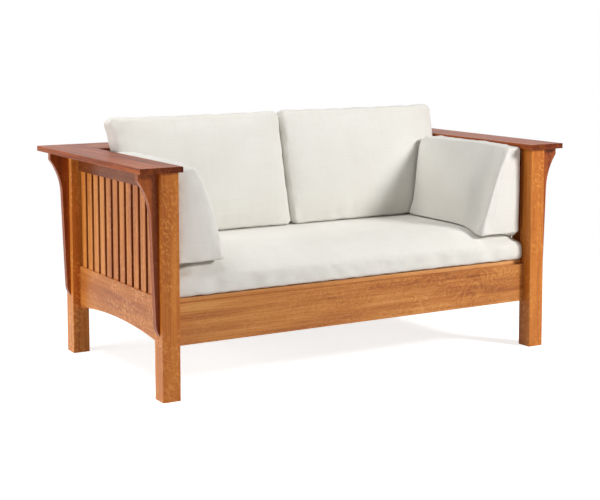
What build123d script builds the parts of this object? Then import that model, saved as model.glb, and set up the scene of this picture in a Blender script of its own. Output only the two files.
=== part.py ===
from build123d import *
import os

# Mission settle with even-height arms and back, in millimetres.
# X runs along the seat, +Y points to the back, +Z points up. The origin lies on the floor,
# under the middle of the rectangle that the arm boards and the back board cover.

# Posts
post_size = 63.0
span_x = 1577.0
span_y = 851.0
post_height = 748.0
edge_ease = 2.0

# Boards that lie on the posts and rails
cap_thickness = 19.0
side_overhang = 77.0
arm_inner_overhang = 11.0
front_overhang = 11.0
back_overhang = 78.0
back_cap_inner_overhang = 77.0
cap_ease = 1.5
cap_joint_gap = 0.2

# Rails
rail_thickness = 22.0
side_rail_recess = 30.0
front_rail_recess = 34.5
top_rail_height = 68.0
side_rail_low = 170.0
side_rail_height = 155.0
arch_rise = 27.0
front_rail_low = 173.0
front_rail_height = 139.0
back_rail_low = 170.0
back_rail_height = 155.0

# Tenons, staggered in height where two rails enter one post
tenon_thickness = 9.5
tenon_length = 36.0
tenon_edge = 8.0
tenon_height = 56.0
top_tenon_height = 22.0
tenon_fit = 0.2

# Slats
slat_width = 41.0
slat_thickness = 12.0
slat_pitch = 58.8
slat_rear_gap = 12.0
slat_seat = 10.0
slat_fit = 0.2
slat_ease = 1.0

# Corbels under the overhanging boards
corbel_thickness = 22.0
corbel_reach = 70.5
corbel_nose = 24.5
corbel_neck = 26.0
corbel_neck_drop = 150.0
corbel_toe = 13.5
corbel_toe_rise = 39.0
corbel_length = 533.0

# Seat support
cleat_width = 25.0
cleat_height = 25.0
deck_thickness = 22.0
deck_step = 14.0
deck_board_width = 76.0
deck_side_play = 1.0
deck_tongue = 12.0
deck_tongue_thickness = 8.0
bearer_width = 32.0
bearer_height = 65.0
strap_width = 50.0
strap_thickness = 1.5
strap_lap = 22.0
strap_pitch = 118.0
dowel_radius = 5.0
dowel_length = 38.0
dowel_in_cap = 12.0
dowel_fit = 0.1
dowel_pitch = 340.0
dowel_offset = 10.0

# Cushions
cushion_clearance = 0.4
seat_cushion_edge = 65.0
seat_cushion_crown = 55.0
seat_cushion_under_crown = 2.0
seat_cushion_side_play = 4.0
seat_cushion_rear_play = 30.0
seat_cushion_setback = 3.0
seat_cushion_bulge = 9.0
back_cushion_show = 140.0
back_cushion_edge = 74.0
back_cushion_crown = 30.0
back_cushion_bulge = 12.0
back_cushion_gap = 3.0
back_cushion_side_play = 5.0
back_cushion_lean = 14.0
arm_cushion_base = 182.0
arm_cushion_heel = 24.0
arm_cushion_belly = 8.0
arm_cushion_shoulder = 68.0
arm_cushion_rise = 3.0
arm_cushion_crest_rise = 32.0
arm_cushion_crest_drop = 8.0
arm_cushion_spread = 3.0
arm_cushion_front_reach = 20.0
arm_cushion_side_play = 2.0
arm_cushion_rear_gap = 6.0

# Places worked out from the sizes above
cap_depth = front_overhang + span_y + back_overhang
front_y = front_overhang - cap_depth / 2
rear_y = front_y + span_y
post_x = (span_x - post_size) / 2
inner_x = span_x / 2 - post_size
arm_inner_x = inner_x - arm_inner_overhang
arm_outer_x = span_x / 2 + side_overhang
front_post_y = front_y + post_size / 2
rear_post_y = rear_y - post_size / 2
front_post_rear = front_y + post_size
rear_post_front = rear_y - post_size
side_rail_x = span_x / 2 - side_rail_recess - rail_thickness / 2
front_rail_y = front_y + front_rail_recess + rail_thickness / 2
back_rail_y = rear_y - side_rail_recess - rail_thickness / 2
front_rail_top = front_rail_low + front_rail_height
side_rail_top = side_rail_low + side_rail_height
back_rail_top = back_rail_low + back_rail_height
top_rail_low = post_height - top_rail_height
front_rail_inner = front_rail_y + rail_thickness / 2
back_rail_inner = back_rail_y - rail_thickness / 2
side_rail_inner = side_rail_x - rail_thickness / 2
deck_top = front_rail_top + deck_step
deck_low = deck_top - deck_thickness
deck_x = inner_x - deck_side_play
strap_top = deck_top + strap_thickness


def brick(x, y, z, size_x, size_y, size_z):
    """Box with its centre at x, y and its underside at z."""
    return Pos(x, y, z + size_z / 2) * Box(size_x, size_y, size_z)


def grown(x, y, z, size_x, size_y, size_z, fit):
    """The same box with a clearance added all round, for the pocket that takes it."""
    return Pos(x, y, z + size_z / 2) * Box(size_x + 2 * fit, size_y + 2 * fit, size_z + 2 * fit)


def ease(solid, axis, size):
    """Take the arrises that run along one axis off a plain board."""
    return chamfer(solid.edges().filter_by(axis), size)


def mirrored(solid):
    """The same piece for the right-hand side."""
    return mirror(solid, about=Plane.YZ)


# Tenon places: each entry is x, y, underside, and the three sizes of a tenon in the left posts.
# Rails along the seat use the lower part of a joint and rails along the arms the upper part.
def tenon_along_x(y, low, height):
    return (-inner_x - tenon_length / 2, y, low, tenon_length, tenon_thickness, height)


def tenon_along_y(y, low, height):
    return (-side_rail_x, y, low, tenon_thickness, tenon_length, height)


side_tenon_low = side_rail_top - tenon_edge - tenon_height
top_side_tenon_low = post_height - tenon_edge - top_tenon_height
top_back_tenon_low = top_rail_low + tenon_edge
front_rail_tenon = tenon_along_x(front_rail_y, front_rail_low + tenon_edge, tenon_height)
back_rail_tenon = tenon_along_x(back_rail_y, back_rail_low + tenon_edge, tenon_height)
back_top_tenon = tenon_along_x(back_rail_y, top_back_tenon_low, top_tenon_height)
side_front_tenon = tenon_along_y(front_post_rear - tenon_length / 2, side_tenon_low, tenon_height)
side_rear_tenon = tenon_along_y(rear_post_front + tenon_length / 2, side_tenon_low, tenon_height)
top_front_tenon = tenon_along_y(front_post_rear - tenon_length / 2, top_side_tenon_low, top_tenon_height)
top_rear_tenon = tenon_along_y(rear_post_front + tenon_length / 2, top_side_tenon_low, top_tenon_height)


# Posts, with their mortises
def post(y, tenons):
    body = ease(brick(-post_x, y, 0, post_size, post_size, post_height), Axis.Z, edge_ease)
    for place in tenons:
        body -= grown(*place, tenon_fit)
    return body


# Slat places along the side panel and along the back
side_clear = rear_post_front - front_post_rear
side_slat_count = int((side_clear - slat_rear_gap - slat_width) // slat_pitch) + 1
first_slat_y = rear_post_front - slat_rear_gap - slat_width / 2
side_slat_ys = [first_slat_y - i * slat_pitch for i in range(side_slat_count)]
back_clear = 2 * inner_x
back_slat_count = int((back_clear - slat_width) // slat_pitch) + 1
back_slat_xs = [(i - (back_slat_count - 1) / 2) * slat_pitch for i in range(back_slat_count)]


def slat(x, y, low, high, size_x, size_y, fit=0):
    """One slat, or its pocket when a fit is given, from a seat in the lower rail to one in the upper."""
    height = high - low + 2 * slat_seat
    if fit:
        return grown(x, y, low - slat_seat, size_x, size_y, height, fit)
    return ease(brick(x, y, low - slat_seat, size_x, size_y, height), Axis.Z, slat_ease)


side_slat_places = [(-side_rail_x, y, side_rail_top, top_rail_low, slat_thickness, slat_width)
                    for y in side_slat_ys]
back_slat_places = [(x, back_rail_y, back_rail_top, top_rail_low, slat_width, slat_thickness)
                    for x in back_slat_xs]


def side_bottom_rail():
    """Lower side rail with its arched underside and its slat pockets."""
    middle = (front_post_rear + rear_post_front) / 2
    sides = Polyline((front_post_rear, side_rail_low), (front_post_rear, side_rail_top),
                     (rear_post_front, side_rail_top), (rear_post_front, side_rail_low))
    arch = ThreePointArc((rear_post_front, side_rail_low), (middle, side_rail_low + arch_rise),
                         (front_post_rear, side_rail_low))
    face = make_face(Plane.YZ * (sides + arch))
    rail = Pos(-side_rail_x, 0, 0) * extrude(face, amount=rail_thickness / 2, both=True)
    rail += brick(*side_front_tenon) + brick(*side_rear_tenon)
    for place in side_slat_places:
        rail -= slat(*place, fit=slat_fit)
    return rail


def side_top_rail():
    """Upper side rail, straight, with its slat pockets."""
    middle = (front_post_rear + rear_post_front) / 2
    rail = brick(-side_rail_x, middle, top_rail_low, rail_thickness, side_clear, top_rail_height)
    rail += brick(*top_front_tenon) + brick(*top_rear_tenon)
    for place in side_slat_places:
        rail -= slat(*place, fit=slat_fit)
    return rail


def long_rail(y, low, height, tenon, pockets):
    """Rail along the seat with a tenon at each end."""
    rail = brick(0, y, low, 2 * inner_x, rail_thickness, height)
    rail += brick(*tenon) + mirrored(brick(*tenon))
    for place in pockets:
        rail -= slat(*place, fit=slat_fit)
    return rail


# Corbels: a flat nose under the board, a long hollow curve and a slow taper to a rounded toe
def corbel():
    corbel_toe_drop = corbel_length - corbel_toe_rise
    taper = Vector(corbel_toe - corbel_neck, corbel_neck_drop - corbel_toe_drop)
    top = Line((0, 0), (-corbel_reach, 0))
    nose = Line((-corbel_reach, 0), (-corbel_reach, -corbel_nose))
    hollow = TangentArc((-corbel_neck, -corbel_neck_drop), (-corbel_reach, -corbel_nose),
                        tangent=Vector(taper.X, -taper.Y))
    leg = Line((-corbel_neck, -corbel_neck_drop), (-corbel_toe, -corbel_toe_drop))
    toe = TangentArc((-corbel_toe, -corbel_toe_drop), (0, -corbel_length), tangent=Vector(-taper.X, taper.Y))
    back = Line((0, -corbel_length), (0, 0))
    face = make_face(Plane.XZ * (top + nose + hollow + leg + toe + back))
    return extrude(face, amount=corbel_thickness / 2, both=True)


corbel_shape = corbel()
front_corbel = Pos(-span_x / 2, front_post_y, post_height) * corbel_shape
rear_corbel = Pos(-span_x / 2, rear_post_y, post_height) * corbel_shape
back_corbel = Pos(-post_x, rear_y, post_height) * Rot(0, 0, -90) * corbel_shape

# Arm boards run from front to back, and the back board fits between them. Dowels in the posts
# and in the back's upper rail hold them down.
def spread(low, high, pitch):
    """Evenly spaced places between two ends, about one pitch apart."""
    steps = max(1, round((high - low) / pitch))
    return [low + (high - low) * i / steps for i in range(steps + 1)]


def dowel(x, y, fit=0):
    """Dowel that stands in the top of the frame and reaches up into a board."""
    low = post_height + dowel_in_cap - dowel_length
    return Pos(x, y, low + dowel_length / 2) * Cylinder(dowel_radius + fit, dowel_length + 2 * fit)


def doweled(solid, places):
    """Take the dowel holes out of a piece."""
    for place in places:
        solid -= dowel(*place, fit=dowel_fit)
    return solid


left_post_dowels = [(-post_x - dowel_offset, y) for y in (front_post_y, rear_post_y)]
back_dowels = [(x, back_rail_y) for x in spread(-dowel_pitch, dowel_pitch, dowel_pitch)]
arm_width = arm_outer_x - arm_inner_x
arm_cap_board = brick(-(arm_outer_x + arm_inner_x) / 2, 0, post_height, arm_width, cap_depth, cap_thickness)
arm_cap = doweled(ease(arm_cap_board, Axis.Y, cap_ease), left_post_dowels)
back_cap_front = rear_post_front - back_cap_inner_overhang
back_cap_rear = rear_y + back_overhang
back_cap_width = 2 * (arm_inner_x - cap_joint_gap)
back_cap_board = brick(0, (back_cap_front + back_cap_rear) / 2, post_height, back_cap_width,
                       back_cap_rear - back_cap_front, cap_thickness)
back_cap = doweled(ease(back_cap_board, Axis.X, cap_ease), back_dowels)
front_post = doweled(post(front_post_y, [front_rail_tenon, side_front_tenon, top_front_tenon]),
                     left_post_dowels)
rear_post = doweled(post(rear_post_y, [back_rail_tenon, back_top_tenon, side_rear_tenon, top_rear_tenon]),
                    left_post_dowels)
left_dowels = [dowel(*place) for place in left_post_dowels]
cap_dowels = left_dowels + [mirrored(pin) for pin in left_dowels] + [dowel(*place) for place in back_dowels]


# Seat support: cleats on the rails carry a flat frame of boards with straps across it. The frame's
# front edge shows above the front rail.
cleat_low = deck_low - cleat_height
front_cleat_y = front_rail_inner + cleat_width / 2
back_cleat_y = back_rail_inner - cleat_width / 2
side_cleat_x = side_rail_inner - cleat_width / 2
side_cleat_front = front_rail_inner + cleat_width
side_cleat_rear = back_rail_inner - cleat_width
side_cleat_length = side_cleat_rear - side_cleat_front
side_cleat_y = (side_cleat_front + side_cleat_rear) / 2
front_cleat = brick(0, front_cleat_y, cleat_low, 2 * deck_x, cleat_width, cleat_height)
back_cleat = brick(0, back_cleat_y, cleat_low, 2 * deck_x, cleat_width, cleat_height)
left_cleat = brick(-side_cleat_x, side_cleat_y, cleat_low, cleat_width, side_cleat_length, cleat_height)
seat_cleats = [front_cleat, back_cleat, left_cleat, mirrored(left_cleat)]

# The bearer passes under the front and back cleats and rises between them to the boards
bearer_length = back_rail_inner - front_rail_inner
bearer_y = (front_rail_inner + back_rail_inner) / 2
bearer = brick(0, bearer_y, deck_low - bearer_height, bearer_width, bearer_length, bearer_height)
bearer = bearer - front_cleat - back_cleat

# A flat frame of boards lies on the cleats, its short boards tongued into the long ones
deck_front_y = front_rail_inner + deck_board_width / 2
deck_rear_y = back_rail_inner - deck_board_width / 2
cross_length = deck_rear_y - deck_front_y - deck_board_width
cross_y = (deck_front_y + deck_rear_y) / 2
cross_end_x = deck_x - deck_board_width / 2
tongue_low = deck_low + (deck_thickness - deck_tongue_thickness) / 2
tongue_length = cross_length + 2 * deck_tongue
tongue_width = deck_board_width / 2
deck_crosspieces = []
deck_front = brick(0, deck_front_y, deck_low, 2 * deck_x, deck_board_width, deck_thickness)
deck_rear = brick(0, deck_rear_y, deck_low, 2 * deck_x, deck_board_width, deck_thickness)
for x in (-cross_end_x, 0, cross_end_x):
    board = brick(x, cross_y, deck_low, deck_board_width, cross_length, deck_thickness)
    tongue_place = (x, cross_y, tongue_low, tongue_width, tongue_length, deck_tongue_thickness)
    deck_crosspieces.append(board + brick(*tongue_place))
    deck_front -= grown(*tongue_place, tenon_fit)
    deck_rear -= grown(*tongue_place, tenon_fit)

# Straps across the openings of the boards carry the cushion
bay_low = deck_board_width / 2 + strap_width
bay_high = deck_x - deck_board_width - strap_width
strap_length = cross_length + 2 * strap_lap
left_straps = [brick(-x, cross_y, deck_top, strap_width, strap_length, strap_thickness)
               for x in spread(bay_low, bay_high, strap_pitch)]
straps = left_straps + [mirrored(strap) for strap in left_straps]

# Shares for one half of a cushion, from its middle to its end: where a section lies, how full its
# crown is, how deep its edge band is, and how far its front and rear reach
section_shares = (0.0, 0.34, 0.64, 0.82, 0.92, 0.975, 1.0)
crown_shares = (1.0, 0.985, 0.94, 0.84, 0.66, 0.36, 0.03)
edge_shares = (1.0, 1.0, 1.0, 0.99, 0.95, 0.84, 0.66)
reach_shares = (1.0, 1.0, 1.0, 1.0, 0.995, 0.983, 0.962)


def cushion(width, depth, edge, crown, under_crown, bulge):
    """Boxed cushion that lies flat, centred on its edge band: crowned faces and drawn-in sides."""
    right_half = list(zip(section_shares, crown_shares, edge_shares, reach_shares))
    left_half = [(-share, full, band, reach) for share, full, band, reach in reversed(right_half[1:])]
    sections = []
    for share, full, band, reach in left_half + right_half:
        half = (depth / 2 - bulge) * reach
        rise = edge / 2 * band
        side = bulge * band
        upper = ThreePointArc((-half, rise), (0, rise + crown * full), (half, rise))
        rear = ThreePointArc((half, rise), (half + side, 0), (half, -rise))
        lower = ThreePointArc((half, -rise), (0, -rise - under_crown * full), (-half, -rise))
        front = ThreePointArc((-half, -rise), (-half - side, 0), (-half, rise))
        ring = Plane.YZ * (upper + rear + lower + front)
        sections.append(Pos(share * width / 2, 0, 0) * make_face(ring))
    return loft(sections, ruled=True)


# How many times a cushion is let down towards what carries it
settling_steps = 4


def settled(piece, base, lean):
    """Let a piece down, or along one way, until only the clearance is left to what carries it."""
    for _ in range(settling_steps):
        piece = Pos(*(lean * (piece.distance_to(base) - cushion_clearance))) * piece
    return piece


down = Vector(0, 0, -1)
back = Vector(0, 1, 0)

# Seat cushion: one long cushion that reaches from the front rail to behind the back cushions
seat_front = front_rail_y - rail_thickness / 2 + seat_cushion_setback
seat_rear = back_rail_inner - seat_cushion_rear_play
seat_width = 2 * (inner_x - seat_cushion_side_play)
seat_middle_z = strap_top + cushion_clearance + seat_cushion_under_crown + seat_cushion_edge / 2
seat_top = seat_middle_z + seat_cushion_edge / 2 + seat_cushion_crown
seat_cushion = Pos(0, (seat_front + seat_rear) / 2, seat_middle_z) * cushion(
    seat_width, seat_rear - seat_front, seat_cushion_edge, seat_cushion_crown,
    seat_cushion_under_crown, seat_cushion_bulge)

# Back cushions stand on the seat cushion and lean on the front edge of the back board
cap_top = post_height + cap_thickness
back_cushion_height = cap_top + back_cushion_show - seat_top
back_cushion_width = arm_inner_x - back_cushion_side_play - back_cushion_gap / 2
flat_back = cushion(back_cushion_width, back_cushion_height, back_cushion_edge, back_cushion_crown,
                    back_cushion_crown, back_cushion_bulge)
standing_back = Rot(90 - back_cushion_lean, 0, 0) * flat_back
stand_box = standing_back.bounding_box()
back_cushion_x = -(back_cushion_width + back_cushion_gap) / 2
back_cushion_y = back_cap_front - stand_box.max.Y
back_cushion_z = seat_top - stand_box.min.Z + cushion_clearance
left_back_cushion = Pos(back_cushion_x, back_cushion_y, back_cushion_z) * standing_back
left_back_cushion = settled(left_back_cushion, seat_cushion, down)
left_back_cushion = settled(left_back_cushion, back_cap, back)
left_back_cushion = settled(left_back_cushion, seat_cushion, down)

# Arm cushions: wedges that grow wider towards the back, cut upright at the side panel and to the
# lean of the back cushions behind
arm_cushion_height = cap_top - seat_top + arm_cushion_rise
arm_cushion_x = arm_inner_x - arm_cushion_side_play


def arm_cushion_section():
    """Upright wedge outline whose outer end reaches past the side panel, to be cut off there."""
    heel_in = arm_cushion_base - arm_cushion_heel / 4
    heel_top = 2 * arm_cushion_heel
    shoulder = (arm_cushion_shoulder, arm_cushion_height - arm_cushion_crest_rise)
    belly = ((heel_in + arm_cushion_shoulder) / 2 + arm_cushion_belly, (heel_top + shoulder[1]) / 2)
    crest_end = (0, arm_cushion_height)
    outer_top = (-arm_cushion_base, arm_cushion_height - arm_cushion_crest_drop)
    under = Line((-arm_cushion_base, 0), (arm_cushion_base - arm_cushion_heel, 0))
    heel = ThreePointArc((arm_cushion_base - arm_cushion_heel, 0), (arm_cushion_base, arm_cushion_heel),
                         (heel_in, heel_top))
    face = ThreePointArc((heel_in, heel_top), belly, shoulder)
    crest = TangentArc(crest_end, shoulder, tangent=Vector(1, 0))
    top = Line(crest_end, outer_top)
    outer = Line(outer_top, (-arm_cushion_base, 0))
    return make_face(Plane.XZ * (under + heel + face + crest + top + outer))


def arm_cushion():
    """Left arm cushion, let down onto the seat cushion."""
    front = front_post_rear - arm_cushion_front_reach
    length = back_cap_front - front
    wedge = extrude(arm_cushion_section(), amount=2 * length, both=True)
    room = Box(2 * arm_cushion_base, length, 2 * arm_cushion_height,
               align=(Align.MIN, Align.MIN, Align.CENTER))
    wedge = Rot(0, 0, -arm_cushion_spread) * wedge & room
    middle = left_back_cushion.bounding_box().center()
    reach = back_cushion_edge / 2 + back_cushion_crown + arm_cushion_rear_gap
    block = Box(span_x, 2 * back_cushion_height, back_cushion_height,
                align=(Align.CENTER, Align.CENTER, Align.MAX))
    block = Pos(0, middle.Y, middle.Z) * Rot(90 - back_cushion_lean, 0, 0) * Pos(0, 0, reach) * block
    return settled(Pos(-arm_cushion_x, front, seat_top) * wedge - block, seat_cushion, down)


left_arm_cushion = arm_cushion()

parts = {
    "post_front_left": front_post,
    "post_front_right": mirrored(front_post),
    "post_rear_left": rear_post,
    "post_rear_right": mirrored(rear_post),
    "front_rail": long_rail(front_rail_y, front_rail_low, front_rail_height, front_rail_tenon, []),
    "back_bottom_rail": long_rail(back_rail_y, back_rail_low, back_rail_height, back_rail_tenon,
                                  back_slat_places),
    "back_top_rail": doweled(long_rail(back_rail_y, top_rail_low, top_rail_height, back_top_tenon,
                                       back_slat_places), back_dowels),
    "back_slats": Compound([slat(*place) for place in back_slat_places]),
    "corbel_front_left": front_corbel,
    "corbel_front_right": mirrored(front_corbel),
    "corbel_rear_left": rear_corbel,
    "corbel_rear_right": mirrored(rear_corbel),
    "corbel_back_left": back_corbel,
    "corbel_back_right": mirrored(back_corbel),
    "arm_cap_left": arm_cap,
    "arm_cap_right": mirrored(arm_cap),
    "back_cap": back_cap,
    "cap_dowels": Compound(cap_dowels),
    "seat_cleats": Compound(seat_cleats),
    "seat_bearer": bearer,
    "seat_frame_front": deck_front,
    "seat_frame_rear": deck_rear,
    "seat_frame_crosspieces": Compound(deck_crosspieces),
    "seat_straps": Compound(straps),
    "seat_cushion": seat_cushion,
    "back_cushion_left": left_back_cushion,
    "back_cushion_right": mirrored(left_back_cushion),
    "arm_cushion_left": left_arm_cushion,
    "arm_cushion_right": mirrored(left_arm_cushion),
}

# The two side panels: an arched lower rail, a straight upper one and the slats between them
bottom_rail = side_bottom_rail()
top_rail = side_top_rail()
parts["side_bottom_rail_left"] = bottom_rail
parts["side_bottom_rail_right"] = mirrored(bottom_rail)
parts["side_top_rail_left"] = top_rail
parts["side_top_rail_right"] = mirrored(top_rail)
for number, place in enumerate(reversed(side_slat_places), start=1):
    parts[f"side_slat_left_{number}"] = slat(*place)
    parts[f"side_slat_right_{number}"] = mirrored(slat(*place))

os.makedirs("parts", exist_ok=True)
for node, shape in parts.items():
    export_step(shape, f"parts/{node}.step")
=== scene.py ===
import itertools
import math
import bpy
import bmesh
from mathutils import Matrix, Vector
from mathutils.bvhtree import BVHTree


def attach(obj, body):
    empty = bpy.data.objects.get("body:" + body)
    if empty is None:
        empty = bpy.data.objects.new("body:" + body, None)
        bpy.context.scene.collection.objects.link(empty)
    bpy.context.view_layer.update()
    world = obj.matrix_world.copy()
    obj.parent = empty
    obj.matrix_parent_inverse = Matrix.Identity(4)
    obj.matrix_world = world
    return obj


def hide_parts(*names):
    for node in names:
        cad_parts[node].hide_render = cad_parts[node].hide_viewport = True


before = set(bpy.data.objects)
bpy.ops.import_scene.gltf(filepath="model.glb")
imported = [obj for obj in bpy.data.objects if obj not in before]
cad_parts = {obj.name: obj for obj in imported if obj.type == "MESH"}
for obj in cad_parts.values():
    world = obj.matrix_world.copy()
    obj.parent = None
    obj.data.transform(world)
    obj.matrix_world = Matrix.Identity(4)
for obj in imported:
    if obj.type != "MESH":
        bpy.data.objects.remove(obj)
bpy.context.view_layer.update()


# Oak of the frame. Quartersawn white oak, stained a warm amber brown and finished with a clear
# satin lacquer. One grain effect serves every board: fine straight growth lines and pores along
# the board, with the lighter ray flecks of quartersawn faces lying across them.
def node_of(tree, kind, inputs=None, **settings):
    """Add a node, set its plain values, and link the sockets that are given."""
    node = tree.nodes.new(kind)
    for key, value in settings.items():
        setattr(node, key, value)
    for key, value in (inputs or {}).items():
        if isinstance(value, bpy.types.NodeSocket):
            tree.links.new(value, node.inputs[key])
        else:
            node.inputs[key].default_value = value
    return node


def ramp_of(tree, factor, stops):
    """Colour ramp with its stops."""
    ramp = node_of(tree, "ShaderNodeValToRGB", {"Fac": factor})
    elements = ramp.color_ramp.elements
    while len(elements) < len(stops):
        elements.new(0.5)
    for element, (place, color) in zip(elements, stops):
        element.position = place
        element.color = color
    return ramp.outputs["Color"]


def math_of(tree, operation, first, second=0.0, clamp=False):
    """Result of an operation on one or two values or sockets."""
    node = node_of(tree, "ShaderNodeMath", {0: first, 1: second}, operation=operation, use_clamp=clamp)
    return node.outputs["Value"]


def mask_over(tree, value, threshold, gain):
    """Mask of what lies over a threshold, with a harder edge for more gain."""
    return math_of(tree, "MULTIPLY", math_of(tree, "SUBTRACT", value, threshold), gain, clamp=True)


def swing_of(tree, value, amount, middle=0.5):
    """Swing of a value about its middle, made stronger or weaker."""
    return math_of(tree, "MULTIPLY", math_of(tree, "SUBTRACT", value, middle), amount)


def mix_of(tree, factor, first, second, blend="MIX"):
    """Mix two colours."""
    node = tree.nodes.new("ShaderNodeMix")
    node.data_type = "RGBA"
    node.blend_type = blend
    for socket, value in ((node.inputs[0], factor), (node.inputs[6], first), (node.inputs[7], second)):
        if isinstance(value, bpy.types.NodeSocket):
            tree.links.new(value, socket)
        else:
            socket.default_value = value
    return node.outputs[2]


def effect_group(name, inputs, outputs):
    """Empty node group with named sockets, and its input and output nodes."""
    group = bpy.data.node_groups.new(name, "ShaderNodeTree")
    for label, kind, value in inputs:
        socket = group.interface.new_socket(name=label, in_out="INPUT", socket_type=kind)
        if value is not None:
            socket.default_value = value
    for label, kind in outputs:
        group.interface.new_socket(name=label, in_out="OUTPUT", socket_type=kind)
    return group, group.nodes.new("NodeGroupInput"), group.nodes.new("NodeGroupOutput")


def oak_grain():
    """Grain of a board that runs along X: tone, fleck and pore masks, and a height."""
    group, given, result = effect_group(
        "oak grain",
        [("Place", "NodeSocketVector", None), ("Board Tone", "NodeSocketFloat", 0.5),
         ("Band Amount", "NodeSocketFloat", 0.7), ("Fleck Amount", "NodeSocketFloat", 0.5),
         ("Figure Amount", "NodeSocketFloat", 0.0)],
        [("Tone", "NodeSocketFloat"), ("Fleck", "NodeSocketFloat"), ("Pore", "NodeSocketFloat"),
         ("Height", "NodeSocketFloat")])
    place = given.outputs["Place"]

    def streaks(scale, detail, rough=0.55, distortion=0.0, turn=(0.0, 0.0, 0.0)):
        turned = node_of(group, "ShaderNodeMapping", {"Vector": place, "Rotation": turn})
        stretched = node_of(group, "ShaderNodeMapping", {
            "Vector": turned.outputs["Vector"], "Scale": scale})
        noise = node_of(group, "ShaderNodeTexNoise", {
            "Vector": stretched.outputs["Vector"], "Scale": 1.0, "Detail": detail, "Roughness": rough,
            "Distortion": distortion})
        return noise.outputs["Fac"]

    broad = streaks((1.1, 9.0, 9.0), 2.0)
    bands = streaks((2.2, 62.0, 62.0), 3.0, 0.6, 0.25)
    lines = streaks((5.0, 330.0, 330.0), 2.0, 0.6)
    bends = streaks((9.0, 14.0, 14.0), 2.0, 0.5)
    pores = streaks((42.0, 950.0, 950.0), 1.0, 0.5)

    # The rays show as short dashes across the board, in patches
    dashes = streaks((38.0, 105.0, 105.0), 2.0, 0.55, 0.6, (0.0, 0.7, 0.7))
    dash = mask_over(group, dashes, 0.49, 8.0)
    patch = mask_over(group, bends, 0.42, 6.0)
    fleck = math_of(group, "MULTIPLY", math_of(group, "MULTIPLY", dash, patch),
                    given.outputs["Fleck Amount"], clamp=True)

    # The figure is a run of wavy lines: the contours of a slow noise
    swell = streaks((6.0, 9.0, 9.0), 2.0, 0.45, 0.9)
    contour = math_of(group, "FRACT", math_of(group, "MULTIPLY", swell, 22.0))
    wave = math_of(group, "ABSOLUTE", math_of(group, "SUBTRACT", contour, 0.5))
    figure = swing_of(group, wave, given.outputs["Figure Amount"], middle=0.25)

    tone = swing_of(group, broad, 0.9)
    band = swing_of(group, bands, 1.9)
    band = math_of(group, "ADD", band, swing_of(group, lines, 1.0))
    tone = math_of(group, "ADD", tone, math_of(group, "MULTIPLY", band, given.outputs["Band Amount"]))
    tone = math_of(group, "ADD", tone, figure)
    tone = math_of(group, "ADD", tone, given.outputs["Board Tone"], clamp=True)
    pore = mask_over(group, pores, 0.62, 9.0)
    height = math_of(group, "SUBTRACT", math_of(group, "MULTIPLY", lines, 0.35),
                     math_of(group, "MULTIPLY", pore, 0.8))
    for label, value in (("Tone", tone), ("Fleck", fleck), ("Pore", pore), ("Height", height)):
        group.links.new(value, result.inputs[label])
    return group


oak_grain_group = oak_grain()


def edge_wear_and_highlight():
    """Mask of the arrises, where the stain is rubbed thin and where a painted highlight of the lacquer is laid.
    """
    group, given, result = effect_group("edge wear", [("Width", "NodeSocketFloat", 0.0015)],
                                        [("Edge", "NodeSocketFloat")])
    bevel = node_of(group, "ShaderNodeBevel", {"Radius": given.outputs["Width"]}, samples=4)
    plain = group.nodes.new("ShaderNodeNewGeometry")
    dot = node_of(group, "ShaderNodeVectorMath", {0: bevel.outputs["Normal"], 1: plain.outputs["Normal"]},
                  operation="DOT_PRODUCT")
    turned = math_of(group, "SUBTRACT", 1.0, dot.outputs["Value"])
    group.links.new(math_of(group, "MULTIPLY", turned, 5.0, clamp=True), result.inputs["Edge"])
    return group


edge_wear_and_highlight_group = edge_wear_and_highlight()
oak_stops = [(0.0, (0.115, 0.026, 0.006, 1)), (0.30, (0.270, 0.070, 0.014, 1)),
             (0.55, (0.430, 0.140, 0.028, 1)), (0.78, (0.560, 0.215, 0.048, 1)),
             (1.0, (0.660, 0.300, 0.085, 1))]
fleck_color = (0.700, 0.330, 0.105, 1)
pore_color = (0.120, 0.030, 0.008, 1)
# Colour of the arrises: rubbed stain and a painted highlight together
worn_and_highlight_color = (0.50, 0.20, 0.06, 1)
end_grain_stain = (0.55, 0.50, 0.55, 1)
# Painted shade for the narrow side faces of the slats, deep in the gaps between them
slat_gap_painted_shade = (0.55, 0.40, 0.35, 1)


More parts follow.
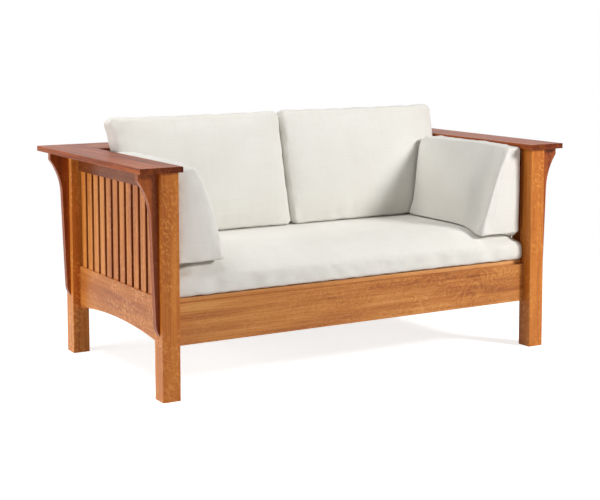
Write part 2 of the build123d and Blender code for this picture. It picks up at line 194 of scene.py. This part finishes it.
def oak_finish(name, turn, start, board_tone, amounts, shade, pitch=None, figured=None,
               gloss=(0.16, 0.20)):
    """Lacquered oak. Amounts are those of bands and flecks, and the shade is that of the stain, with painted
    light and shade on some pieces.
    Pitch, an axis, a spacing, an offset and a spread, gives each slat its own tone and painted shade on its
    narrow side faces, which face into the gaps.
    Figured gives the stretch where the figure grows, and how far. Gloss is that of the wood and of
    its lacquer."""
    material = bpy.data.materials.new(name)
    material.use_nodes = True
    tree = material.node_tree
    shader = tree.nodes["Principled BSDF"]
    place = tree.nodes.new("ShaderNodeTexCoord").outputs["Object"]
    turned = node_of(tree, "ShaderNodeMapping", {"Vector": place, "Rotation": turn, "Location": start})
    grain = node_of(tree, "ShaderNodeGroup", node_tree=oak_grain_group)
    tree.links.new(turned.outputs["Vector"], grain.inputs["Place"])
    grain.inputs["Band Amount"].default_value, grain.inputs["Fleck Amount"].default_value = amounts
    facing = tree.nodes.new("ShaderNodeTexCoord").outputs["Normal"]
    parts = node_of(tree, "ShaderNodeSeparateXYZ", {"Vector": place})
    if figured:
        run = math_of(tree, "DIVIDE", math_of(tree, "SUBTRACT", parts.outputs["X"], figured[0]),
                      figured[1] - figured[0], clamp=True)
        tree.links.new(math_of(tree, "MULTIPLY", run, figured[2]), grain.inputs["Figure Amount"])
    if pitch:
        axis, spacing, offset, spread = pitch
        shifted = math_of(tree, "ADD", parts.outputs[axis], offset)
        number = math_of(tree, "FLOOR", math_of(tree, "DIVIDE", shifted, spacing))
        side = math_of(tree, "SIGN", parts.outputs["X"])
        odd = node_of(tree, "ShaderNodeCombineXYZ", {"X": number, "Y": side})
        chance = node_of(tree, "ShaderNodeTexWhiteNoise", {"Vector": odd.outputs["Vector"]})
        own = swing_of(tree, chance.outputs["Value"], spread)
        tree.links.new(math_of(tree, "ADD", own, board_tone), grain.inputs["Board Tone"])
    else:
        grain.inputs["Board Tone"].default_value = board_tone
    color = ramp_of(tree, grain.outputs["Tone"], oak_stops)
    color = mix_of(tree, math_of(tree, "MULTIPLY", grain.outputs["Fleck"], 0.70), color, fleck_color)
    color = mix_of(tree, math_of(tree, "MULTIPLY", grain.outputs["Pore"], 0.5), color, pore_color)
    wear_and_highlight = node_of(tree, "ShaderNodeGroup", node_tree=edge_wear_and_highlight_group)
    # Lighter colour on the arrises: partly rubbed stain, partly painted highlight
    color = mix_of(tree, math_of(tree, "MULTIPLY", wear_and_highlight.outputs["Edge"], 0.35), color, worn_and_highlight_color)
    # End grain drinks more stain
    normal = node_of(tree, "ShaderNodeMapping", {"Vector": facing, "Rotation": turn}, vector_type="VECTOR")
    along = node_of(tree, "ShaderNodeSeparateXYZ", {"Vector": normal.outputs["Vector"]}).outputs["X"]
    cut = mask_over(tree, math_of(tree, "ABSOLUTE", along), 0.6, 4.0)
    color = mix_of(tree, cut, color, mix_of(tree, 1.0, color, end_grain_stain, "MULTIPLY"))
    # Painted shade: the narrow side faces of the slats, in the gaps between them, are darkened
    if pitch:
        sideways = node_of(tree, "ShaderNodeSeparateXYZ", {"Vector": facing}).outputs[axis]
        edge = math_of(tree, "GREATER_THAN", math_of(tree, "ABSOLUTE", sideways), 0.7)
        color = mix_of(tree, edge, color, mix_of(tree, 1.0, color, slat_gap_painted_shade, "MULTIPLY"))
    # The shade multiplies the colour: it is the stain's tint, and on the rear posts, upper side rails and seat
    # ledge it also paints light and shade
    tree.links.new(mix_of(tree, 1.0, color, (*shade, 1), "MULTIPLY"), shader.inputs["Base Color"])
    rough = math_of(tree, "ADD", 0.40, math_of(tree, "MULTIPLY", grain.outputs["Pore"], 0.2))
    smoother = math_of(tree, "MULTIPLY", grain.outputs["Fleck"], 0.10)
    tree.links.new(math_of(tree, "SUBTRACT", rough, smoother), shader.inputs["Roughness"])
    bump = node_of(tree, "ShaderNodeBump", {"Height": grain.outputs["Height"], "Strength": 0.25,
                                            "Distance": 0.0004})
    tree.links.new(bump.outputs["Normal"], shader.inputs["Normal"])
    shader.inputs["Specular IOR Level"].default_value = gloss[0]
    shader.inputs["Coat Weight"].default_value = gloss[1]
    shader.inputs["Coat Roughness"].default_value = 0.22
    shader.inputs["Coat IOR"].default_value = 1.5
    return material


grain_up = (0.0, math.radians(90), 0.0)
grain_back = (0.0, 0.0, math.radians(-90))
grain_along = (0.0, 0.0, 0.0)


def dress(finish, *nodes):
    """Give CAD nodes a finish in every slot of their mesh."""
    for node in nodes:
        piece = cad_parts[node]
        for slot in piece.material_slots:
            slot.material = finish


slat_pitch = 0.0588
board_look = {"board_tone": 0.36, "amounts": (0.6, 0.2), "shade": (0.88, 0.62, 0.55), "gloss": (0.08, 0.10)}
for number, side in enumerate(("left", "right")):
    dress(oak_finish(f"oak front post {side}", grain_up, start=(0.0, 0.31 * number, 0.17),
                     board_tone=0.71, amounts=(0.35, 1.0), shade=(1.02, 0.83, 0.50)),
          f"post_front_{side}")
    # The rear posts' lighter shade is painted light, for light that falls short on their front faces
    dress(oak_finish(f"oak rear post {side}", grain_up, start=(0.5, 0.23 * number, 0.37),
                     board_tone=0.76, amounts=(0.35, 1.0), shade=(1.15, 0.98, 0.62)),
          f"post_rear_{side}")
    dress(oak_finish(f"oak corbel {side}", grain_up, start=(0.4, 0.13 + number, 0.57),
                     board_tone=0.48, amounts=(0.45, 0.4), shade=(0.82, 0.56, 0.35)),
          f"corbel_front_{side}", f"corbel_rear_{side}", f"corbel_back_{side}")
    dress(oak_finish(f"oak slat {side}", grain_up, start=(0.9, 0.7 * number, 0.03),
                     board_tone=0.66, amounts=(0.50, 0.5), shade=(1.18, 1.10, 0.95),
                     pitch=("Y", slat_pitch, 0.396, 0.18)),
          *[f"side_slat_{side}_{i}" for i in range(1, 13)])
    dress(oak_finish(f"oak side rail {side}", grain_back, start=(0.2, 0.5 + number, 0.11),
                     board_tone=0.58, amounts=(0.35, 0.9), shade=(1.12, 1.08, 1.0)),
          f"side_bottom_rail_{side}")
    # The upper side rails' dark shade is painted shade, for the shadow under the arm boards
    dress(oak_finish(f"oak upper rail {side}", grain_back, start=(0.2, 0.3 + number, 0.71),
                     board_tone=0.45, amounts=(0.4, 0.3), shade=(0.55, 0.45, 0.42)),
          f"side_top_rail_{side}")
    dress(oak_finish(f"oak arm board {side}", grain_back, start=(0.6, 0.9 + number, 0.23), **board_look),
          f"arm_cap_{side}")
dress(oak_finish("oak front rail", grain_along, start=(0.0, 0.0, 0.4), board_tone=0.66,
                 amounts=(0.50, 0.3), shade=(1.0, 1.0, 1.0), figured=(-0.65, 0.30, 0.50)),
      "front_rail")
# The seat ledge's light, cool shade is painted light, on a ledge that lies in the shade of the seat cushion's
# front
dress(oak_finish("oak seat ledge", grain_along, start=(0.3, 0.6, 0.4), board_tone=0.78,
                 amounts=(0.3, 0.2), shade=(1.25, 1.55, 2.2)), "seat_frame_front")
dress(oak_finish("oak back rail", grain_along, start=(0.5, 0.2, 0.9), board_tone=0.55,
                 amounts=(0.5, 0.6), shade=(1.0, 1.0, 1.0)), "back_bottom_rail", "back_top_rail")
dress(oak_finish("oak back board", grain_along, start=(0.8, 0.4, 0.1), **board_look), "back_cap")
dress(oak_finish("oak back slat", grain_up, start=(0.3, 0.1, 0.6), board_tone=0.60,
                 amounts=(0.55, 0.5), shade=(1.1, 1.05, 0.95),
                 pitch=("X", slat_pitch, 0.7056, 0.30)), "back_slats")


# Seat support. Plain planed boards on cleats with a bearer, left without stain or lacquer, and
# jute straps stapled across them. All of it is under the cushion and seen only from below.
def raw_wood_finish(name, turn):
    """Planed wood with the frame's grain, pale and dull."""
    material = bpy.data.materials.new(name)
    material.use_nodes = True
    tree = material.node_tree
    shader = tree.nodes["Principled BSDF"]
    place = tree.nodes.new("ShaderNodeTexCoord").outputs["Object"]
    turned = node_of(tree, "ShaderNodeMapping", {"Vector": place, "Rotation": turn})
    grain = node_of(tree, "ShaderNodeGroup", node_tree=oak_grain_group)
    tree.links.new(turned.outputs["Vector"], grain.inputs["Place"])
    grain.inputs["Fleck Amount"].default_value = 0.2
    color = ramp_of(tree, grain.outputs["Tone"], [
        (0.0, (0.34, 0.19, 0.085, 1)), (0.5, (0.53, 0.34, 0.17, 1)), (1.0, (0.66, 0.47, 0.27, 1))])
    color = mix_of(tree, math_of(tree, "MULTIPLY", grain.outputs["Pore"], 0.4), color,
                   (0.25, 0.13, 0.06, 1))
    tree.links.new(color, shader.inputs["Base Color"])
    bump = node_of(tree, "ShaderNodeBump", {"Height": grain.outputs["Height"], "Strength": 0.4,
                                            "Distance": 0.0006})
    tree.links.new(bump.outputs["Normal"], shader.inputs["Normal"])
    shader.inputs["Roughness"].default_value = 0.7
    return material


dress(raw_wood_finish("planed wood along", grain_along), "seat_frame_rear", "seat_cleats")
dress(raw_wood_finish("planed wood across", grain_back), "seat_frame_crosspieces", "seat_bearer")
dress(raw_wood_finish("dowel wood", grain_up), "cap_dowels")


# Seat straps. Woven jute webbing, stapled across the openings of the boards, which carries the
# seat cushion.
def webbing_finish():
    """Jute with coarse threads both ways."""
    material = bpy.data.materials.new("jute webbing")
    material.use_nodes = True
    tree = material.node_tree
    shader = tree.nodes["Principled BSDF"]
    place = tree.nodes.new("ShaderNodeTexCoord").outputs["Object"]
    across = node_of(tree, "ShaderNodeTexWave", {"Vector": place, "Scale": 95.0, "Distortion": 0.6,
                                                 "Detail": 1.0}, bands_direction="X")
    along = node_of(tree, "ShaderNodeTexWave", {"Vector": place, "Scale": 120.0, "Distortion": 0.6,
                                                "Detail": 1.0}, bands_direction="Y")
    weave = math_of(tree, "MULTIPLY", across.outputs["Fac"], along.outputs["Fac"])
    tree.links.new(ramp_of(tree, weave, [(0.0, (0.24, 0.16, 0.08, 1)), (0.6, (0.45, 0.33, 0.19, 1)),
                                         (1.0, (0.56, 0.44, 0.28, 1))]), shader.inputs["Base Color"])
    bump = node_of(tree, "ShaderNodeBump", {"Height": weave, "Strength": 0.5, "Distance": 0.0006})
    tree.links.new(bump.outputs["Normal"], shader.inputs["Normal"])
    shader.inputs["Roughness"].default_value = 0.85
    return material


dress(webbing_finish(), "seat_straps")


# Cushion cover. Off-white cloth with the look of linen: a plain weave with a thicker thread here
# and there, sewn with plain seams.
def linen_weave():
    """Weave of cloth laid out in metres: thread height, slub mask and a slow unevenness."""
    group, given, result = effect_group(
        "linen weave",
        [("Cloth Place", "NodeSocketVector", None), ("Thread Pitch", "NodeSocketFloat", 0.0011)],
        [("Threads", "NodeSocketFloat"), ("Slubs", "NodeSocketFloat"), ("Cloud", "NodeSocketFloat")])
    place = given.outputs["Cloth Place"]
    count = math_of(group, "DIVIDE", 1.0, given.outputs["Thread Pitch"])
    parts = node_of(group, "ShaderNodeSeparateXYZ", {"Vector": place})

    def ridges(axis):
        turn = math_of(group, "MULTIPLY", math_of(group, "MULTIPLY", parts.outputs[axis], count), math.pi)
        return math_of(group, "ABSOLUTE", math_of(group, "SINE", turn))

    threads = math_of(group, "MULTIPLY", ridges("X"), ridges("Y"))

    def slub(scale):
        stretched = node_of(group, "ShaderNodeMapping", {"Vector": place, "Scale": scale})
        noise = node_of(group, "ShaderNodeTexNoise", {
            "Vector": stretched.outputs["Vector"], "Scale": 1.0, "Detail": 2.0, "Roughness": 0.6})
        return mask_over(group, noise.outputs["Fac"], 0.52, 4.0)

    fine = math_of(group, "ADD", slub((16.0, 420.0, 1.0)), slub((420.0, 16.0, 1.0)), clamp=True)
    coarse = math_of(group, "ADD", slub((6.0, 170.0, 1.0)), slub((170.0, 6.0, 1.0)), clamp=True)
    slubs = math_of(group, "ADD", math_of(group, "MULTIPLY", fine, 0.5),
                    math_of(group, "MULTIPLY", coarse, 0.5))
    cloud = node_of(group, "ShaderNodeTexNoise", {"Vector": place, "Scale": 5.0, "Detail": 3.0})
    for label, value in (("Threads", threads), ("Slubs", slubs), ("Cloud", cloud.outputs["Fac"])):
        group.links.new(value, result.inputs[label])
    return group


linen_weave_group = linen_weave()
linen = bpy.data.materials.new("off-white linen")
linen.use_nodes = True
tree = linen.node_tree
cloth = tree.nodes["Principled BSDF"]
laid_out = node_of(tree, "ShaderNodeUVMap", uv_map="panels")
weave = node_of(tree, "ShaderNodeGroup", {"Cloth Place": laid_out.outputs["UV"]}, node_tree=linen_weave_group)
seam_reach = node_of(tree, "ShaderNodeAttribute", attribute_name="seam").outputs["Fac"]
stitch_width, pucker_width = 0.0022, 0.030
slub_color, stitch_color = (0.680, 0.655, 0.590, 1), (0.42, 0.39, 0.33, 1)
seam_line = math_of(tree, "SUBTRACT", 1.0, math_of(tree, "DIVIDE", seam_reach, stitch_width), clamp=True)
cover = ramp_of(tree, weave.outputs["Cloud"],
                [(0.3, (0.755, 0.735, 0.680, 1)), (0.7, (0.800, 0.785, 0.735, 1))])
cover = mix_of(tree, math_of(tree, "MULTIPLY", weave.outputs["Slubs"], 0.45), cover, slub_color)
cover = mix_of(tree, math_of(tree, "MULTIPLY", seam_line, 0.06), cover, stitch_color)
tree.links.new(cover, cloth.inputs["Base Color"])
thread_height = math_of(tree, "ADD", math_of(tree, "MULTIPLY", weave.outputs["Threads"], 0.6),
                        math_of(tree, "MULTIPLY", weave.outputs["Slubs"], 0.7))
thread_bump = node_of(tree, "ShaderNodeBump", {
    "Height": thread_height, "Strength": 0.35, "Distance": 0.0006})
pucker = node_of(tree, "ShaderNodeTexNoise", {
    "Vector": laid_out.outputs["UV"], "Scale": 34.0, "Detail": 1.0})
near_seam = math_of(tree, "SUBTRACT", 1.0, math_of(tree, "DIVIDE", seam_reach, pucker_width), clamp=True)
pucker_bump = node_of(tree, "ShaderNodeBump", {
    "Height": math_of(tree, "MULTIPLY", pucker.outputs["Fac"], near_seam), "Strength": 0.3, "Distance": 0.010,
    "Normal": thread_bump.outputs["Normal"]})
seam_bump = node_of(tree, "ShaderNodeBump", {"Height": seam_line, "Strength": 0.35, "Distance": 0.0012,
                                             "Normal": pucker_bump.outputs["Normal"]}, invert=True)
tree.links.new(seam_bump.outputs["Normal"], cloth.inputs["Normal"])
cloth.inputs["Roughness"].default_value = 0.88
cloth.inputs["Specular IOR Level"].default_value = 0.25
cloth.inputs["Sheen Weight"].default_value = 0.15
cloth.inputs["Sheen Roughness"].default_value = 0.5


# Seat cushion. One long boxed cushion of soft foam in its cover. It lies loose on the seat frame,
# with its front over the frame's front edge, and it is crowned on top and flat below.
def block_net(lengths, pitch, edge_rows):
    """Closed block from 0 to 1 each way, cut into a net, with its panels laid out in metres."""
    block = bmesh.new()
    bmesh.ops.create_cube(block, size=1.0, matrix=Matrix.Translation((0.5, 0.5, 0.5)))
    for axis, length in enumerate(lengths):
        rows = [row / length for row in edge_rows]
        steps = max(2, round((length - 2 * edge_rows[-1]) / pitch))
        inner = [rows[-1] + (1 - 2 * rows[-1]) * step / steps for step in range(steps + 1)]
        for share in rows[:-1] + inner + [1 - row for row in rows[:-1]]:
            place, way = Vector((0.5, 0.5, 0.5)), Vector()
            place[axis], way[axis] = share, 1.0
            bmesh.ops.bisect_plane(block, geom=block.verts[:] + block.edges[:] + block.faces[:],
                                   plane_co=place, plane_no=way)
    block.normal_update()
    panels = block.loops.layers.uv.new("panels")
    seam = block.verts.layers.float.new("seam")
    for face in block.faces:
        across = max(range(3), key=lambda axis: abs(face.normal[axis]))
        first, second = [axis for axis in range(3) if axis != across]
        for loop in face.loops:
            at = loop.vert.co
            loop[panels].uv = (at[first] * lengths[first] + across, at[second] * lengths[second])
    for vert in block.verts:
        reach = sorted(min(share, 1.0 - share) * length for share, length in zip(vert.co, lengths))
        vert[seam] = reach[1]
    return block


def eased(point, halves, radius):
    """Place on a box of these half sizes once its edges are rounded."""
    inner = Vector([max(radius - half, min(half - radius, value)) for value, half in zip(point, halves)])
    away = point - inner
    return inner + away.normalized() * radius if away.length > 1e-9 else point


def boxed_form(share, size, crowns, fullness, radius, corner, draw_in, bulge):
    """Place on a boxed cushion that lies flat. Its faces are crowned, fuller towards their edges for
    a higher fullness, its sides are drawn in, its corners are rounded, and its boxing bulges."""
    halves = Vector(size) / 2
    a, b, c = (2 * part - 1 for part in share)
    soft = eased(Vector((a * halves.x, b * halves.y, c * halves.z)), halves, radius)
    flat = soft.xy
    core = Vector([max(corner - half, min(half - corner, value)) for value, half in zip(flat, halves.xy)])
    away = flat - core
    if away.length > 1e-9:
        away *= max(abs(away.x), abs(away.y)) / away.length
    soft.x, soft.y = core.x + away.x, core.y + away.y
    soft.z += c * crowns[c < 0] * (1 - abs(a) ** fullness[0]) * (1 - abs(b) ** fullness[1])
    soft.x -= a * draw_in[a > 0] * (1 - b * b)
    soft.y -= b * draw_in[2] * (1 - a * a)
    band = bulge * (1 - c * c)
    soft.x += math.copysign(band * abs(a) ** 30, a)
    soft.y += math.copysign(band * abs(b) ** 30, b)
    return soft


def sewn_cushion(name, block, form, body, puff_cap, settle=None):
    """Shape a net, let the cloth puff between its pinned seams, let it settle, and subdivide it once."""
    for vert in block.verts:
        vert.co = form(vert.co.copy())
    bmesh.ops.recalc_face_normals(block, faces=block.faces[:])
    data = bpy.data.meshes.new(name)
    block.to_mesh(data)
    block.free()
    data.materials.append(linen)
    data.shade_smooth()
    piece = bpy.data.objects.new(name, data)
    bpy.context.collection.objects.link(piece)
    reach = data.attributes["seam"].data
    seam_half_width, last_frame = 0.003, 20
    pins = piece.vertex_groups.new(name="seams")
    pins.add([i for i, entry in enumerate(reach) if entry.value < seam_half_width], 1.0, "REPLACE")
    swell = piece.modifiers.new("swell", "CLOTH")
    swell.settings.quality = 6
    swell.settings.mass = 0.3
    swell.settings.tension_stiffness = 12
    swell.settings.compression_stiffness = 12
    swell.settings.shear_stiffness = 4
    swell.settings.bending_stiffness = 0.4
    swell.settings.use_pressure = True
    swell.settings.uniform_pressure_force = 4.0
    swell.settings.shrink_min = -0.02
    swell.settings.vertex_group_mass = "seams"
    swell.settings.effector_weights.gravity = 0.0
    swell.point_cache.frame_end = last_frame
    scene = bpy.context.scene
    for step in range(1, last_frame + 1):
        scene.frame_set(step)
    puffed = piece.evaluated_get(bpy.context.evaluated_depsgraph_get()).data
    places = [vert.co.copy() for vert in puffed.vertices]
    piece.modifiers.remove(swell)
    scene.frame_set(1)
    for vert, place in zip(data.vertices, places):
        move = place - vert.co
        vert.co += move * min(1.0, puff_cap / max(move.length, 1e-9))
    piece.vertex_groups.clear()
    if settle:
        for vert in data.vertices:
            vert.co = settle(vert.co.copy())
    finer = piece.modifiers.new("finer", "SUBSURF")
    finer.levels = finer.render_levels = 1
    finer.boundary_smooth = "PRESERVE_CORNERS"
    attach(piece, body)
    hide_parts(name[:-5])
    return piece


def lifted(point, place, lean=0.0):
    """Turn a place on a flat cushion up about its long side, and move it."""
    return Matrix.Rotation(lean, 3, "X") @ point + Vector(place)


def surface_of(piece):
    """Search tree of a finished cushion, so that the next one can lie on it."""
    return BVHTree.FromObject(piece, bpy.context.evaluated_depsgraph_get())


seat_size = (1.448, 0.724, 0.066)
seat_place = (0.0, -0.0557, 0.3618)
seat_net = block_net(seat_size, pitch=0.024, edge_rows=(0.009, 0.018))


def seat_form(share):
    """Place on the seat cushion, which keeps its height up to the ends behind its front."""
    full = 11.0 + 30.0 * min(max((share.y - 0.04) / 0.12, 0.0), 1.0)
    soft = boxed_form(share, seat_size, crowns=(0.057, 0.0), fullness=(full, 7.0), radius=0.014,
                      corner=0.006, draw_in=(0.0, 0.0, 0.0), bulge=0.001)
    return lifted(soft, seat_place)


seat_pad = sewn_cushion("seat_cushion_sewn", seat_net, seat_form, "seat_cushion_body", puff_cap=0.003)
seat_surface = surface_of(seat_pad)


def seat_height(x, y):
    """Height of the seat cushion's top at a place."""
    hit = seat_surface.ray_cast(Vector((x, y, 1.0)), Vector((0.0, 0.0, -1.0)))[0]
    return hit.z if hit else seat_place[2]


# Back cushions. Two boxed cushions, softer and fuller than the seat. They stand on the seat
# cushion, side by side, lean on the front edge of the back board, and their lower ends press flat.
back_lean = math.radians(90 - 13.3)
rest_gap = 0.0015
least_gap = 0.0008
usual_tall = 0.448


def leaning_form(share, place, size, draw_in):
    """Place on a back cushion, with its lower end let down or pressed up onto the seat cushion."""
    soft = boxed_form(share, size, crowns=(0.026, 0.037), fullness=(3.4, 3.2), radius=0.016,
                      corner=0.022, draw_in=draw_in, bulge=0.004)
    point = lifted(soft, place, back_lean)
    foot = lifted(Vector((soft.x, -size[1] / 2, soft.z)), place, back_lean)
    drop = seat_height(foot.x, foot.y) + rest_gap - foot.z
    point.z += drop * (0.5 - soft.y / size[1]) ** 3
    return point


def on_seat(point):
    """Keep a place clear above the seat cushion."""
    point.z = max(point.z, seat_height(point.x, point.y) + least_gap)
    return point


back_surfaces = []
for side, middle, width, tall, draw_in in (("left", -0.3555, 0.701, 0.448, (0.026, 0.002, 0.003)),
                                           ("right", 0.3575, 0.702, 0.451, (0.002, 0.003, 0.003))):
    back_size = (width, tall, 0.072)
    back_place = (middle, 0.1462, 0.6582 + (tall - usual_tall) / 2)
    back_pad = sewn_cushion(
        f"back_cushion_{side}_sewn", block_net(back_size, pitch=0.020, edge_rows=(0.009, 0.018)),
        lambda share: leaning_form(share, back_place, back_size, draw_in),
        f"back_cushion_{side}_body", puff_cap=0.0035, settle=on_seat)
    back_surfaces.append(surface_of(back_pad))


def back_front(x, z):
    """How far back the face of the back cushions lies at a place, at rest or while they are lifted.
    The plane at the start is their usual face, for places beside them."""
    face_y, face_z, face_slope = 0.130, 0.738, 0.237
    drift = 0.096  # how far back a cushion goes for each metre that it is lifted
    reach = face_y - face_slope * (face_z - z)
    tries = itertools.product(back_surfaces, (0.0, 0.01, 0.02, 0.03, 0.04), (-0.014, 0.0, 0.014))
    for tree, lift, aside in tries:
        hit = tree.ray_cast(Vector((x + aside, -0.3, z - lift)), Vector((0.0, 1.0, 0.0)))[0]
        if hit:
            reach = min(reach, hit.y + drift * lift)
    return reach


# Arm cushions. Two wedges, wide at the seat and narrow at the top, with a boxing band at the front,
# which grow wider towards the back. They stand on the seat cushion against the side panels.
wedge_size = Vector((0.110, 0.460, 0.340))
wedge_foot, wedge_outer, wedge_front = 0.445, 0.7135, -0.412
rear_round, top_round = 0.070, 0.110
wedge_gap, swell_gap = 0.0035, 0.0025


def wedge_form(share, way, inner_x, slope, spread, high, front_rise, sag):
    """Place on a wedge cushion for a place on the unit block. Its x starts at the outer face. The inner
    face leans by its slope and its spread towards the back, swells in a belly with its crest above
    the middle, and has a hollow beside the front seam. The front can rise and the outer foot sag."""
    halves = wedge_size / 2
    a, b, c = (2 * part - 1 for part in share)
    soft = eased(Vector((a * halves.x, b * halves.y, c * halves.z)), halves, 0.011)
    across, depth, rise = (value / length + 0.5 for value, length in zip(soft, wedge_size))
    back, above = max(1 - (1 - depth) / rear_round, 0.0), max(1 - (1 - rise) / top_round, 0.0)
    if back * above > 0:
        round_off = max(back, above) / math.hypot(back, above)
        depth, rise = 1 - rear_round * (1 - back * round_off), 1 - top_round * (1 - above * round_off)
    up = rise * (high - wedge_foot)
    inner = inner_x + slope * up - depth * (spread * up - 0.002)
    crest = c - 0.30 * (1 - c * c)
    belly = max(a, 0.0) * (1 - abs(crest) ** 2.2) * (0.012 + 0.030 * (1 - abs(b) ** 2.2))
    by_seam = max(1 - ((depth - 0.13) / 0.13) ** 2, 0.0) ** 2
    hollow = 0.022 * max(a, 0.0) * (1 - c * c) * (1.3 - rise) * by_seam
    x = way * (wedge_outer + across * (inner - wedge_outer) - belly + hollow)
    front = wedge_front - 0.004 * max(-b, 0.0) ** 20 * (1 - c * c)
    y = front + depth * (back_front(x, wedge_foot + up) - wedge_gap - front)
    under = max(y, -0.370)
    low = max(seat_height(x, under), seat_height(way * 0.635, under)) + rest_gap
    low -= sag * min(max(-2 * a, 0.0), 1.0) * min(max((depth - 0.03) / 0.03, 0.0), 1.0)
    low += front_rise * max(1 - depth / 0.3, 0.0)
    droop = 0.010 * max(1 - depth / 0.3, 0.0) ** 2
    return Vector((x, y, low + rise * (high - droop - low)))


def in_corner(point):
    """Keep a place clear of the seat cushion below and the back cushion behind."""
    point.y = min(point.y, back_front(point.x, point.z) - swell_gap)
    return on_seat(point)


for side, way, inner_x, slope, spread, high, front_rise, sag in (
        ("left", -1, 0.533, 0.345, 0.006, 0.765, 0.010, 0.0),
        ("right", 1, 0.524, 0.417, 0.138, 0.764, 0.0, 0.022)):
    arm_pad = sewn_cushion(
        f"arm_cushion_{side}_sewn", block_net(wedge_size, pitch=0.018, edge_rows=(0.008, 0.016)),
        lambda share: wedge_form(share, way, inner_x, slope, spread, high, front_rise, sag),
        f"arm_cushion_{side}_body", puff_cap=0.005, settle=in_corner)


# Floor. A pale studio floor with no edge to be seen: it keeps the settle's own soft shadow, and
# further out it fades to the white of the backdrop.
white_card = (1.0, 1.0, 1.0, 1)
floor_mesh = bmesh.new()
bmesh.ops.create_grid(floor_mesh, x_segments=1, y_segments=1, size=14.0)
floor_data = bpy.data.meshes.new("studio floor")
floor_mesh.to_mesh(floor_data)
floor_mesh.free()
studio_floor = bpy.data.objects.new("studio_floor", floor_data)
bpy.context.collection.objects.link(studio_floor)
floor_paint = bpy.data.materials.new("pale studio floor")
floor_paint.use_nodes = True
tree = floor_paint.node_tree
paint = tree.nodes["Principled BSDF"]
paint.inputs["Base Color"].default_value = (0.80, 0.80, 0.80, 1)
paint.inputs["Roughness"].default_value = 0.9
paint.inputs["Specular IOR Level"].default_value = 0.0
glow = node_of(tree, "ShaderNodeEmission", {"Color": white_card, "Strength": 0.75})
lit = node_of(tree, "ShaderNodeAddShader", {0: paint.outputs["BSDF"], 1: glow.outputs["Emission"]})
plain_white = node_of(tree, "ShaderNodeEmission", {"Color": white_card, "Strength": 1.0})
spot = tree.nodes.new("ShaderNodeTexCoord").outputs["Object"]
reach = node_of(tree, "ShaderNodeVectorMath", {0: spot}, operation="LENGTH")
fade_start, fade_width = 1.3, 1.2
past_start = math_of(tree, "SUBTRACT", reach.outputs["Value"], fade_start)
far = math_of(tree, "DIVIDE", past_start, fade_width, clamp=True)
shown = node_of(tree, "ShaderNodeMixShader", {"Fac": far, 1: lit.outputs["Shader"],
                                              2: plain_white.outputs["Emission"]})


def seen_straight(tree):
    """One for the rays that show a backdrop: those of the camera, of gloss and through glass."""
    ways = tree.nodes.new("ShaderNodeLightPath").outputs
    either = math_of(tree, "MAXIMUM", ways["Is Camera Ray"], ways["Is Glossy Ray"])
    return math_of(tree, "MAXIMUM", either, ways["Is Transmission Ray"])


choice = node_of(tree, "ShaderNodeMixShader", {"Fac": seen_straight(tree), 1: paint.outputs["BSDF"],
                                               2: shown.outputs["Shader"]})
tree.links.new(choice.outputs["Shader"], tree.nodes["Material Output"].inputs["Surface"])
floor_data.materials.append(floor_paint)

# Studio light. A soft box to the right in front throws the soft shadow of the arm cushion, weaker
# ones light the top and the left side, and the room is white to the camera.
world = bpy.data.worlds.new("studio room")
bpy.context.scene.world = world
world.use_nodes = True
tree = world.node_tree
room = tree.nodes["Background"]
room.inputs["Color"].default_value = (1.0, 0.985, 0.965, 1)
room.inputs["Strength"].default_value = 0.10
backdrop = node_of(tree, "ShaderNodeBackground", {"Color": white_card, "Strength": 1.0})
choice = node_of(tree, "ShaderNodeMixShader", {"Fac": seen_straight(tree), 1: room.outputs["Background"],
                                               2: backdrop.outputs["Background"]})
tree.links.new(choice.outputs["Shader"], tree.nodes["World Output"].inputs["Surface"])


def soft_box(name, place, aim, width, height, power):
    """Area lamp at a place that faces a point."""
    lamp = bpy.data.lights.new(name, "AREA")
    lamp.shape = "RECTANGLE"
    lamp.size, lamp.size_y, lamp.energy = width, height, power
    holder = bpy.data.objects.new(name, lamp)
    holder.location = place
    holder.rotation_euler = (Vector(aim) - Vector(place)).to_track_quat("-Z", "Y").to_euler()
    bpy.context.collection.objects.link(holder)


soft_box("soft_box_right", place=(2.46, -3.12, 2.30), aim=(0.3, 0.0, 0.5), width=0.85, height=0.85, power=143.0)
soft_box("soft_box_top", place=(-1.2, 0.2, 2.95), aim=(0.1, 0.0, 0.4), width=1.9, height=1.8, power=47.5)
soft_box("soft_box_left", place=(-3.3, 0.2, 0.75), aim=(-0.8, 0.0, 0.45), width=1.5, height=1.0, power=42.0)

# Camera. It stands at the photograph's viewpoint, about half a metre above the arms, turned to the
# right and slightly down. Its lens is shifted a little, so that the posts stay nearly upright.
picture_width = 600
focal_length = 1391.2
camera_data = bpy.data.cameras.new("studio_camera")
camera_data.sensor_width = 36.0
camera_data.lens = focal_length / picture_width * camera_data.sensor_width
camera_data.shift_y = -100 / picture_width
camera = bpy.data.objects.new("studio_camera", camera_data)
camera.location = (-2.630, -4.4736, 1.242)
camera.rotation_euler = (math.radians(90 - 5.46), math.radians(0.11), math.radians(-30.40))
bpy.context.collection.objects.link(camera)
bpy.context.scene.camera = camera
bpy.context.scene.view_settings.view_transform = "Standard"
